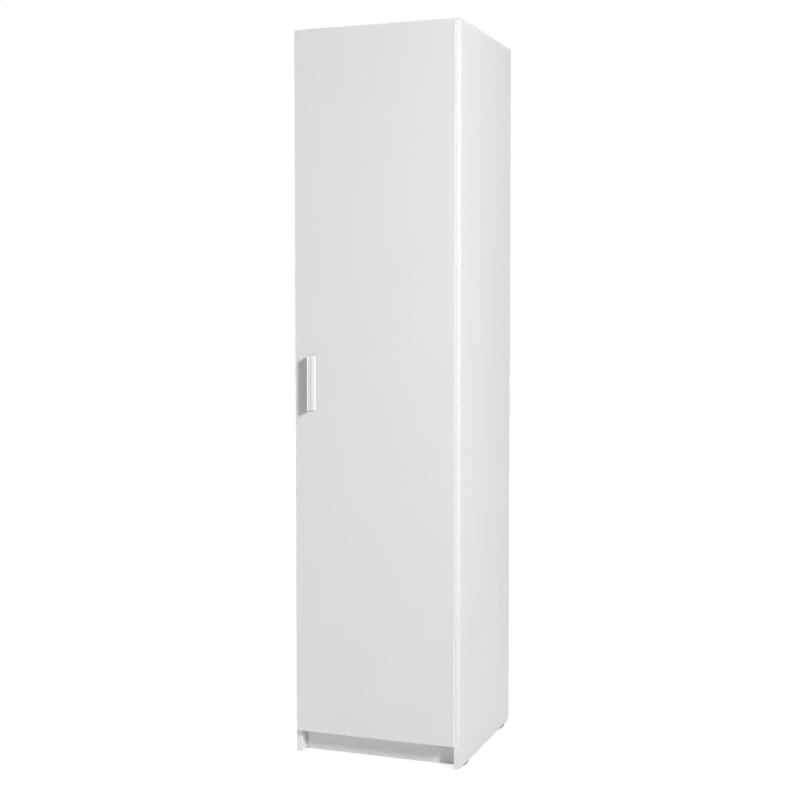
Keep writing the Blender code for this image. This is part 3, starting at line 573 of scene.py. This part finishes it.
def reckon(tree, operation, first, second):
    """Number worked out from two others."""
    node = tree.nodes.new("ShaderNodeMath")
    node.operation = operation
    tree.links.new(first, node.inputs[0])
    tree.links.new(second, node.inputs[1])
    return node.outputs["Value"]


def larger(tree, first, second):
    return reckon(tree, "MAXIMUM", first, second)


def times(tree, first, second):
    return reckon(tree, "MULTIPLY", first, second)


def emboss(tree, shader, height, depth, strength=1.0):
    """Relief on a shader: depth is how far in metres its pattern stands up."""
    node = tree.nodes.new("ShaderNodeBump")
    node.inputs["Distance"].default_value = depth
    node.inputs["Strength"].default_value = strength
    tree.links.new(height, node.inputs["Height"])
    tree.links.new(node.outputs["Normal"], shader.inputs["Normal"])


def dimmed(colour, amount):
    return tuple(channel * amount for channel in colour)


def shaded(tree, pattern, colour, shade):
    """Colour that dims with a pattern, down to a share of itself."""
    return mixed(tree, spread(tree, pattern, 0, 1), dimmed(colour, shade), colour)


def vary_colour(tree, shader, pattern, colour, shade):
    tree.links.new(shaded(tree, pattern, colour, shade), shader.inputs["Base Color"])


def vary_roughness(tree, shader, pattern, roughness, swing):
    """Roughness that swings to both sides of a value with a pattern."""
    rough = spread(tree, pattern, roughness - swing, roughness + swing)
    tree.links.new(rough, shader.inputs["Roughness"])


def coated_board(name, settings, raw_edges=False):
    """White coated board with a fine pearl, wood chips where an edge is left raw, and painted light on the
    front faces.
    """
    material, tree, shader = new_finish(name, settings.white, settings.roughness)
    white = shaded(tree, cloudy(tree, size=0.22, detail=3), settings.white, shade=0.985)
    if raw_edges:
        front = facing(tree, "Y", -TURNED, -FULLY_TURNED)
        rear = facing(tree, "Y", TURNED, FULLY_TURNED)
        below = facing(tree, "Z", -TURNED, -FULLY_TURNED)
        chips = spread(tree, cells(tree, settings.chip, stretch=(1, 1, 0.45)), 0, 1, start=0.2, end=0.8)
        wood = mixed(tree, chips, settings.chip_dark, settings.chip_light)
        # Front faces of the sides and plinth take the lighter white, painted light that brightens the shaded
        # plinth and the edge strip.
        white = mixed(tree, front, white, settings.front_white_painted_light)
        white = mixed(tree, larger(tree, rear, below), white, wood)
    tree.links.new(white, shader.inputs["Base Color"])
    pearl = cloudy(tree, settings.pearl, detail=1)
    vary_roughness(tree, shader, pearl, settings.roughness, swing=0.05)
    emboss(tree, shader, pearl, depth=0.02 * MM, strength=0.5)
    return material


def plain_metal(name, colour, roughness, scratch=(1, 1, 1), grain=1.0 * MM):
    """Metal with fine marks, drawn out along an axis by scratch."""
    material, tree, shader = new_finish(name, colour, roughness, metallic=1.0)
    marks = cloudy(tree, grain, detail=3, stretch=scratch)
    vary_roughness(tree, shader, marks, roughness, swing=0.04)
    vary_colour(tree, shader, cloudy(tree, size=12 * MM), colour, shade=0.97)
    emboss(tree, shader, marks, depth=0.005 * MM, strength=0.1)
    return material


def moulded_plastic(name, colour, roughness, grain):
    """Plastic with the fine skin of its mould."""
    material, tree, shader = new_finish(name, colour, roughness)
    skin = cloudy(tree, grain)
    vary_roughness(tree, shader, skin, roughness, swing=0.06)
    vary_colour(tree, shader, cloudy(tree, size=8 * MM), colour, shade=0.97)
    emboss(tree, shader, skin, depth=0.02 * MM, strength=0.4)
    return material


class WARDROBE_OT_finish_boards(Operator):
    """Coat the boards of the carcass and the door"""

    bl_idname = "wardrobe.finish_boards"
    bl_label = "Boards"

    def execute(self, context):
        settings = context.scene.wardrobe_boards
        coated = coated_board("white_coated_board", settings)
        edged = coated_board("white_board_with_raw_edges", settings, raw_edges=True)
        for node in ("door_panel", "top_panel", "bottom_panel", "hat_shelf"):
            coat_node(node, coated)
        for node in ("side_panel_left", "side_panel_right", "plinth_board"):
            coat_node(node, edged)
        return {"FINISHED"}


class WARDROBE_OT_finish_dowels(Operator):
    """Give the dowels their beech grain"""

    bl_idname = "wardrobe.finish_dowels"
    bl_label = "Dowels"

    def execute(self, context):
        colour = context.scene.wardrobe_boards.beech
        material, tree, shader = new_finish("beech_dowel", colour, roughness=0.7)
        grain = cloudy(tree, size=1.5 * MM, detail=3, stretch=(0.08, 1, 1))
        vary_colour(tree, shader, grain, colour, shade=0.72)
        emboss(tree, shader, grain, depth=0.05 * MM)
        for level in LEVELS:
            for side in OUTWARD:
                coat_node(f"dowel_{level}_{side}", material)
        return {"FINISHED"}


class WARDROBE_OT_make_back(Operator):
    """Make the thin back sheet, white inside and raw behind, with its nails"""

    bl_idname = "wardrobe.make_back"
    bl_label = "Back"

    nail_head: length("Nail head", "Radius of a nail's head", 2 * MM)
    nail_rise: length("Nail rise", "How far a nail's head stands up", 0.8 * MM)

    def execute(self, context):
        settings = context.scene.wardrobe_boards
        low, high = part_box("back_panel")
        sheet_rear = high.y - self.nail_rise
        sheet_front = sheet_rear - SHEET_THICKNESS
        front_corner = Vector((low.x, sheet_front, low.z))
        rear_corner = Vector((high.x, sheet_rear, high.z))
        sheet = add_block("back_sheet", front_corner, rear_corner)
        soften(sheet, lambda edge: True, SHEET_SOFT, segments=2)
        dress(sheet, self.sheet_finish(settings), "white_hardboard", "back_panel")
        steel = plain_metal("nail_steel", NAIL_COLOUR, roughness=0.4)
        source = self.nail()
        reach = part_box("side_panel_right")[0].x - NAIL_INSET
        for level in LEVELS:
            under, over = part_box(f"{level}_panel")
            for number in range(NAILS):
                across = reach * (2 * number / (NAILS - 1) - 1)
                place = Vector((across, high.y, (under.z + over.z) / 2))
                nail = copy_piece(source, f"back_nail_{level}_{number + 1}", place, TO_REAR)
                dress(nail, steel, "zinc", body="carcass")
        bpy.data.objects.remove(source)
        return {"FINISHED"}

    def nail(self):
        """Nail under the origin, its head's top at zero."""
        shank_radius = NAIL_SHANK[-1][1]
        head = dome(self.nail_rise, self.nail_head, flat=0.6 * MM, steps=5)
        return grow_rings("nail", [*NAIL_SHANK, (-self.nail_rise, shank_radius), *head], sides=24)

    def sheet_finish(self, settings):
        """Hardboard, coated white in front and raw brown behind."""
        coated, raw = 0.5, 0.8
        material, tree, shader = new_finish("white_faced_hardboard", settings.white_back, coated)
        fibres = cloudy(tree, size=1.2 * MM, detail=4, stretch=(1, 1, 0.6))
        brown = shaded(tree, fibres, settings.fibre, shade=0.72)
        behind = facing(tree, "Y", start=0.1, end=0.4)
        tree.links.new(mixed(tree, behind, settings.white_back, brown), shader.inputs["Base Color"])
        tree.links.new(spread(tree, behind, coated, raw, start=0, end=1), shader.inputs["Roughness"])
        emboss(tree, shader, fibres, depth=0.04 * MM, strength=0.5)
        return material


class WARDROBE_OT_make_pull(Operator):
    """Make the angle profile that the door is pulled by"""

    bl_idname = "wardrobe.make_pull"
    bl_label = "Pull"

    def execute(self, context):
        settings = context.scene.wardrobe_pull
        low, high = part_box("pull")
        flange_front = high.y - settings.flange
        web_right = low.x + settings.web
        piece = add_block("pull_profile", Vector((low.x, flange_front, low.z)), high)
        edit(piece)
        bpy.ops.mesh.bisect(plane_co=(web_right, 0, 0), plane_no=(1, 0, 0))
        choose_faces(piece, lambda f: f.normal.y < -SQUARE_ON and f.calc_center_median().x < web_right)
        bpy.ops.mesh.extrude_region_move(TRANSFORM_OT_translate={"value": (0, low.y - flange_front, 0)})
        inner = lambda e: stands_up(e) and self.in_corner(middle(e), web_right, flange_front)
        round_edges(piece, inner, settings.fillet, segments=6)
        round_edges(piece, lambda e: stands_up(e) and bends(e), settings.soft, segments=4)
        round_edges(piece, bends, settings.soft / 2, segments=2)
        dress(piece, self.finish(settings), "aluminium", "pull")
        return {"FINISHED"}

    def in_corner(self, place, web_right, flange_front):
        """Whether a place lies in the corner between web and flange."""
        return abs(place.x - web_right) < NEAR and abs(place.y - flange_front) < NEAR

    def finish(self, settings):
        """Satin anodised metal with faint lines along the profile."""
        name, colour = "satin_anodised_metal", settings.colour
        material, tree, shader = new_finish(name, colour, settings.roughness, metallic=1.0)
        lines = cloudy(tree, size=0.35 * MM, stretch=(1, 1, 0.01))
        vary_roughness(tree, shader, lines, settings.roughness, swing=0.05)
        vary_colour(tree, shader, cloudy(tree, size=0.25 * MM, detail=1), colour, shade=0.96)
        emboss(tree, shader, lines, depth=0.008 * MM, strength=0.4)
        return material


class WARDROBE_OT_make_caps(Operator):
    """Make the white caps over the joint screws"""

    bl_idname = "wardrobe.make_caps"
    bl_label = "Screw caps"

    def execute(self, context):
        settings = context.scene.wardrobe_fittings
        # Whiter cap plastic, raised further as a painted highlight.
        finish = moulded_plastic("white_cap_plastic", settings.cap_white_and_painted_highlight, roughness=0.24, grain=0.6 * MM)
        seat = CAPPED_SCREW[-1][0]
        top = crown(settings.cap_height, settings.cap_radius)
        source = grow_rings("cap", [*CAPPED_SCREW, (seat, settings.cap_radius), *top])
        for spot in ("top_front", "top_rear", "bottom_front", "bottom_rear", "plinth"):
            for side, outward in OUTWARD.items():
                node = f"capped_screw_{spot}_{side}"
                cap = copy_piece(source, f"screw_cap_{spot}_{side}", outer_point(node, outward), outward)
                dress(cap, finish, "white_plastic", node)
        bpy.data.objects.remove(source)
        return {"FINISHED"}


class WARDROBE_OT_make_glides(Operator):
    """Make the black strips that the sides stand on"""

    bl_idname = "wardrobe.make_glides"
    bl_label = "Glides"

    def execute(self, context):
        settings = context.scene.wardrobe_fittings
        height = settings.glide_height
        finish = moulded_plastic("black_glide_plastic", settings.glide_colour, roughness=0.45, grain=0.5 * MM)
        for end in ENDS:
            for side in OUTWARD:
                node = f"glide_{end}_{side}"
                low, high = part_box(node)
                x = (low.x + high.x) / 2
                radius = (high.x - low.x) / 2
                discs = [(x, low.y + radius, radius), (x, high.y - radius, radius)]
                glide = hull_block(f"glide_strip_{end}_{side}", discs, low.z, height)
                soften(glide, lambda e: bends(e) and middle(e).z < height / 2, GLIDE_SOFT)
                dress(glide, finish, "black_plastic", node)
        return {"FINISHED"}


class WARDROBE_OT_make_rail(Operator):
    """Make the oval clothes rail and its two sockets"""

    bl_idname = "wardrobe.make_rail"
    bl_label = "Clothes rail"

    def execute(self, context):
        settings = context.scene.wardrobe_fittings
        drawn = (0.02, 1, 1)
        chrome = plain_metal("chromed_steel", settings.chrome, roughness=0.12, scratch=drawn, grain=0.8 * MM)
        low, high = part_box("clothes_rail")
        centre = (low + high) / 2
        straight = (high.z - low.z) / 2 - RAIL_ROUND
        tube = hull_block("rail", self.oval(straight, RAIL_ROUND), 0, high.x - low.x)
        edit(tube)
        choose_faces(tube, lambda f: abs(f.normal.z) > SQUARE_ON)
        bpy.ops.mesh.delete(type="ONLY_FACE")
        shape_with(tube, "SOLIDIFY", thickness=settings.rail_wall, offset=-1, use_even_offset=True)
        rail = copy_piece(tube, "oval_rail", Vector((low.x, centre.y, centre.z)), RIGHT)
        bpy.data.objects.remove(tube)
        dress(rail, chrome, "chrome", "clothes_rail")
        source = self.socket(settings, straight)
        for side, outward in OUTWARD.items():
            node = f"rail_socket_{side}"
            socket = copy_piece(source, f"rail_holder_{side}", outer_point(node, outward), INWARD[side])
            dress(socket, chrome, "chrome", node)
        bpy.data.objects.remove(source)
        return {"FINISHED"}

    def oval(self, straight, radius):
        return [(-straight, 0, radius), (straight, 0, radius)]

    def socket(self, settings, straight):
        """Screwed base with a raised collar that the rail's end sits in."""
        base = settings.socket_base
        rim = base + SOCKET_DEPTH
        collar = self.oval(straight, RAIL_ROUND + settings.socket_wall + SOCKET_PLAY)
        mouth = self.oval(straight, RAIL_ROUND + SOCKET_PLAY)
        ears = self.oval(EAR_PLACE, settings.ear_radius)
        piece = hull_block("socket", ears + collar, 0, base)
        soften(piece, lambda e: bends(e) and middle(e).z > base / 2, EAR_SOFT)
        combine(piece, hull_block("collar", collar, base / 2, rim), "UNION")
        combine(piece, hull_block("mouth", mouth, base, rim + MM), "DIFFERENCE")
        soften(piece, lambda e: bends(e) and middle(e).z > rim - NEAR, COLLAR_SOFT, segments=2)
        return piece


class WARDROBE_OT_make_screws(Operator):
    """Make the visible screws with their cross recesses"""

    bl_idname = "wardrobe.make_screws"
    bl_label = "Screws"

    def execute(self, context):
        settings = context.scene.wardrobe_fittings
        zinc = plain_metal("zinc_plated_steel", settings.zinc, roughness=0.34)
        nickel = plain_metal("nickel_screw_steel", settings.nickel, roughness=0.24)
        source = self.screw(head=3.2 * MM, height=1.2 * MM, shank=1.75 * MM, reach=12 * MM)
        for place in PLACES:
            for side, inward in INWARD.items():
                self.set_screw(source, f"rail_screw_{place}_{side}", inward, zinc, "zinc")
        bpy.data.objects.remove(source)
        source = self.screw(head=3.6 * MM, height=2.2 * MM, shank=2 * MM, reach=19.5 * MM)
        for place in PLACES:
            self.set_screw(source, f"pull_screw_{place}", TO_REAR, nickel, "nickel")
        bpy.data.objects.remove(source)
        source = self.screw(head=3.4 * MM, height=1.6 * MM, shank=2 * MM, reach=6.3 * MM)
        for number in HINGES:
            self.set_screw(source, f"hinge_arm_screw_{number}", LEFT, nickel, "nickel")
        bpy.data.objects.remove(source)
        return {"FINISHED"}

    def screw(self, head, height, shank, reach):
        """Pan-headed screw under the origin, its head's top at zero."""
        tip = -height - reach
        rings = [(tip, shank * SCREW_POINT), (tip + shank * SCREW_TAPER, shank), (-height, shank)]
        piece = grow_rings("screw", rings + dome(height, head, flat=head * HEAD_FLAT), sides=32)
        cut_cross(piece, head * RECESS_SPAN, head * RECESS_WIDTH, height * RECESS_DEPTH)
        return piece

    def set_screw(self, source, node, outward, finish, slot):
        piece = copy_piece(source, f"{node}_turned", outer_point(node, outward), outward)
        dress(piece, finish, slot, node)


class WARDROBE_OT_make_shelf_pins(Operator):
    """Make the collared pins under the hat shelf"""

    bl_idname = "wardrobe.make_shelf_pins"
    bl_label = "Shelf pins"

    def execute(self, context):
        settings = context.scene.wardrobe_fittings
        nickel = plain_metal("nickel_pin_steel", settings.nickel, roughness=0.26)
        end_radius = COLLARED_PIN[-1][1]
        tip = dome(height=0.8 * MM, radius=end_radius, flat=1 * MM, steps=4)
        source = grow_rings("pin", [*COLLARED_PIN, *tip], sides=32)
        for end in ENDS:
            for side, inward in INWARD.items():
                node = f"shelf_pin_{end}_{side}"
                pin = copy_piece(source, f"shelf_peg_{end}_{side}", outer_point(node, inward), inward)
                dress(pin, nickel, "nickel", node)
        bpy.data.objects.remove(source)
        return {"FINISHED"}


class WARDROBE_OT_make_hinges(Operator):
    """Make the concealed hinges: cups, plates, arms and links"""

    bl_idname = "wardrobe.make_hinges"
    bl_label = "Hinges"

    soft: length("Soft edges", "Radius of the pressed edges", 0.18 * MM)

    def execute(self, context):
        settings = context.scene.wardrobe_fittings
        nickel = plain_metal("nickel_hinge_steel", settings.nickel, roughness=0.27)
        for number in HINGES:
            for kind in ("hinge_cup", "hinge_plate", "hinge_arm", "outer_link", "inner_link"):
                self.pressed(f"{kind}_{number}", nickel)
        return {"FINISHED"}

    def pressed(self, node, finish):
        """Rounded copy of a node's solid."""
        fresh()
        piece = bpy.data.objects.new(f"{node}_pressed", frame["nodes"][node].data.copy())
        bpy.context.scene.collection.objects.link(piece)
        edit(piece)
        bpy.ops.mesh.remove_doubles(threshold=SOLID_WELD)
        bpy.ops.mesh.dissolve_limited(angle_limit=FLAT_ANGLE)
        shape_with(
            piece, "BEVEL", width=self.soft, segments=2, limit_method="ANGLE", angle_limit=PRESSED_ANGLE
        )
        edit(piece)
        bpy.ops.mesh.dissolve_degenerate(threshold=SOLID_WELD)
        dress(piece, finish, "nickel", node)


class WARDROBE_OT_make_buffers(Operator):
    """Make the clear buffers on the door's free edge"""

    bl_idname = "wardrobe.make_buffers"
    bl_label = "Door buffers"

    def execute(self, context):
        rubber = self.rubber(context.scene.wardrobe_fittings.buffer_colour)
        top = dome(BUFFER_DEPTH * BUFFER_DOME, BUFFER_RADIUS, BUFFER_FLAT)
        source = grow_rings("buffer", [(-BUFFER_DEPTH, BUFFER_FOOT), *top], sides=40)
        for place in PLACES:
            node = f"door_buffer_{place}"
            buffer = copy_piece(source, f"buffer_dot_{place}", outer_point(node, TO_REAR), TO_REAR)
            dress(buffer, rubber, "clear_buffer", node)
        bpy.data.objects.remove(source)
        return {"FINISHED"}

    def rubber(self, colour):
        """Clear soft rubber with a faint skin."""
        roughness = 0.3
        material, tree, shader = new_finish("clear_buffer_rubber", colour, roughness)
        shader.inputs["Transmission Weight"].default_value = 0.7
        shader.inputs["IOR"].default_value = 1.46
        skin = cloudy(tree, size=0.7 * MM)
        vary_roughness(tree, shader, skin, roughness, swing=0.06)
        emboss(tree, shader, skin, depth=0.02 * MM, strength=0.4)
        return material


class WARDROBE_OT_make_stage(Operator):
    """Set up the floor, the light and the camera"""

    bl_idname = "wardrobe.make_stage"
    bl_label = "Stage"

    def execute(self, context):
        settings = context.scene.wardrobe_stage
        context.scene.view_settings.view_transform = "Standard"
        self.make_world(context.scene, settings)
        self.make_floor(settings)
        lamps = {name: self.make_light(name, lamp, settings) for name, lamp in LAMPS.items()}
        key = lamps["key_light"]
        key.data.shape = "ELLIPSE"
        key.data.size_y = KEY_HEIGHT
        key.data.spread = KEY_SPREAD
        key.visible_glossy = False
        lamps["top_light"].data.spread = TOP_SPREAD
        context.scene.camera = self.make_camera(settings)
        return {"FINISHED"}

    def seen(self, tree):
        """One for camera, mirror and glass rays, but not for the light that metal throws on a board."""
        path = tree.nodes.new("ShaderNodeLightPath")
        shine = larger(tree, path.outputs["Is Glossy Ray"], path.outputs["Is Transmission Ray"])
        first = spread(tree, path.outputs["Diffuse Depth"], 1, 0, start=0, end=1)
        return larger(tree, path.outputs["Is Camera Ray"], times(tree, shine, first))

    def make_world(self, scene, settings):
        """Room that looks white and lights the wardrobe only as much as its setting says."""
        world = bpy.data.worlds.new("white_room")
        scene.world = world
        world.use_nodes = True
        tree = world.node_tree
        background = tree.nodes["Background"]
        background.inputs["Color"].default_value = WHITE
        strength = spread(tree, self.seen(tree), settings.room_light, 1.0, start=0, end=1)
        tree.links.new(strength, background.inputs["Strength"])

    def make_floor(self, settings):
        """White floor that keeps the wardrobe's shadow."""
        fresh()
        bpy.ops.mesh.primitive_grid_add(x_subdivisions=2, y_subdivisions=2, size=FLOOR_SIZE)
        floor = bpy.context.object
        floor.name = "floor"
        material, tree, shader = new_finish("white_floor", settings.floor_tone, FLOOR_ROUGHNESS)
        seen = self.seen(tree)
        surface = mixed(tree, seen, settings.floor_bounce, settings.floor_tone)
        tree.links.new(surface, shader.inputs["Base Color"])
        shader.inputs["Emission Color"].default_value = WHITE
        away = tree.nodes.new("ShaderNodeVectorMath")
        away.operation = "LENGTH"
        tree.links.new(places(tree), away.inputs[0])
        glow = spread(tree, away.outputs["Value"], GLOW_NEAR, GLOW_FAR, GLOW_START, GLOW_END)
        tree.links.new(times(tree, glow, seen), shader.inputs["Emission Strength"])
        floor.data.materials.append(material)

    def make_light(self, name, lamp, settings):
        """Round soft lamp, turned to what it lights."""
        fresh()
        aim = Vector(lamp.aim) - Vector(lamp.place)
        turn = aim.to_track_quat("-Z", "Y").to_euler()
        bpy.ops.object.light_add(type="AREA", location=lamp.place, rotation=turn)
        light = bpy.context.object
        light.name = name
        light.data.shape = "DISK"
        light.data.size = lamp.width
        light.data.energy = getattr(settings, lamp.power)
        return light

    def make_camera(self, settings):
        fresh()
        turn = (radians(90) - settings.camera_dip, 0, settings.camera_turn)
        bpy.ops.object.camera_add(location=settings.camera_place, rotation=turn)
        camera = bpy.context.object
        camera.data.lens = settings.lens
        camera.data.sensor_width = SENSOR_WIDTH
        camera.data.shift_y = settings.lens_drop
        return camera


STEPS = (
    WARDROBE_OT_finish_boards,
    WARDROBE_OT_finish_dowels,
    WARDROBE_OT_make_back,
    WARDROBE_OT_make_pull,
    WARDROBE_OT_make_caps,
    WARDROBE_OT_make_glides,
    WARDROBE_OT_make_rail,
    WARDROBE_OT_make_screws,
    WARDROBE_OT_make_shelf_pins,
    WARDROBE_OT_make_hinges,
    WARDROBE_OT_make_buffers,
    WARDROBE_OT_make_stage,
)

SETTINGS = {
    "wardrobe_boards": WardrobeBoardSettings,
    "wardrobe_pull": WardrobePullSettings,
    "wardrobe_fittings": WardrobeFittingSettings,
    "wardrobe_stage": WardrobeStageSettings,
}


class WARDROBE_PT_sidebar(Panel):
    """Settings and steps of the wardrobe"""

    bl_label = "Wardrobe"
    bl_space_type = "VIEW_3D"
    bl_region_type = "UI"
    bl_category = "Wardrobe"

    def draw(self, context):
        for key, group in SETTINGS.items():
            box = self.layout.box()
            box.label(text=group.__doc__)
            for name in group.__annotations__:
                box.prop(getattr(context.scene, key), name)
        for step in STEPS:
            self.layout.operator(step.bl_idname)


CLASSES = (*SETTINGS.values(), *STEPS, WARDROBE_PT_sidebar)


def register():
    for cls in CLASSES:
        bpy.utils.register_class(cls)
    for key, group in SETTINGS.items():
        setattr(bpy.types.Scene, key, PointerProperty(type=group))


def unregister():
    for key in SETTINGS:
        delattr(bpy.types.Scene, key)
    for cls in reversed(CLASSES):
        bpy.utils.unregister_class(cls)


def main():
    register()
    for step in STEPS:
        getattr(bpy.ops.wardrobe, step.bl_idname.split(".")[1])()


if __name__ == "__main__":
    main()
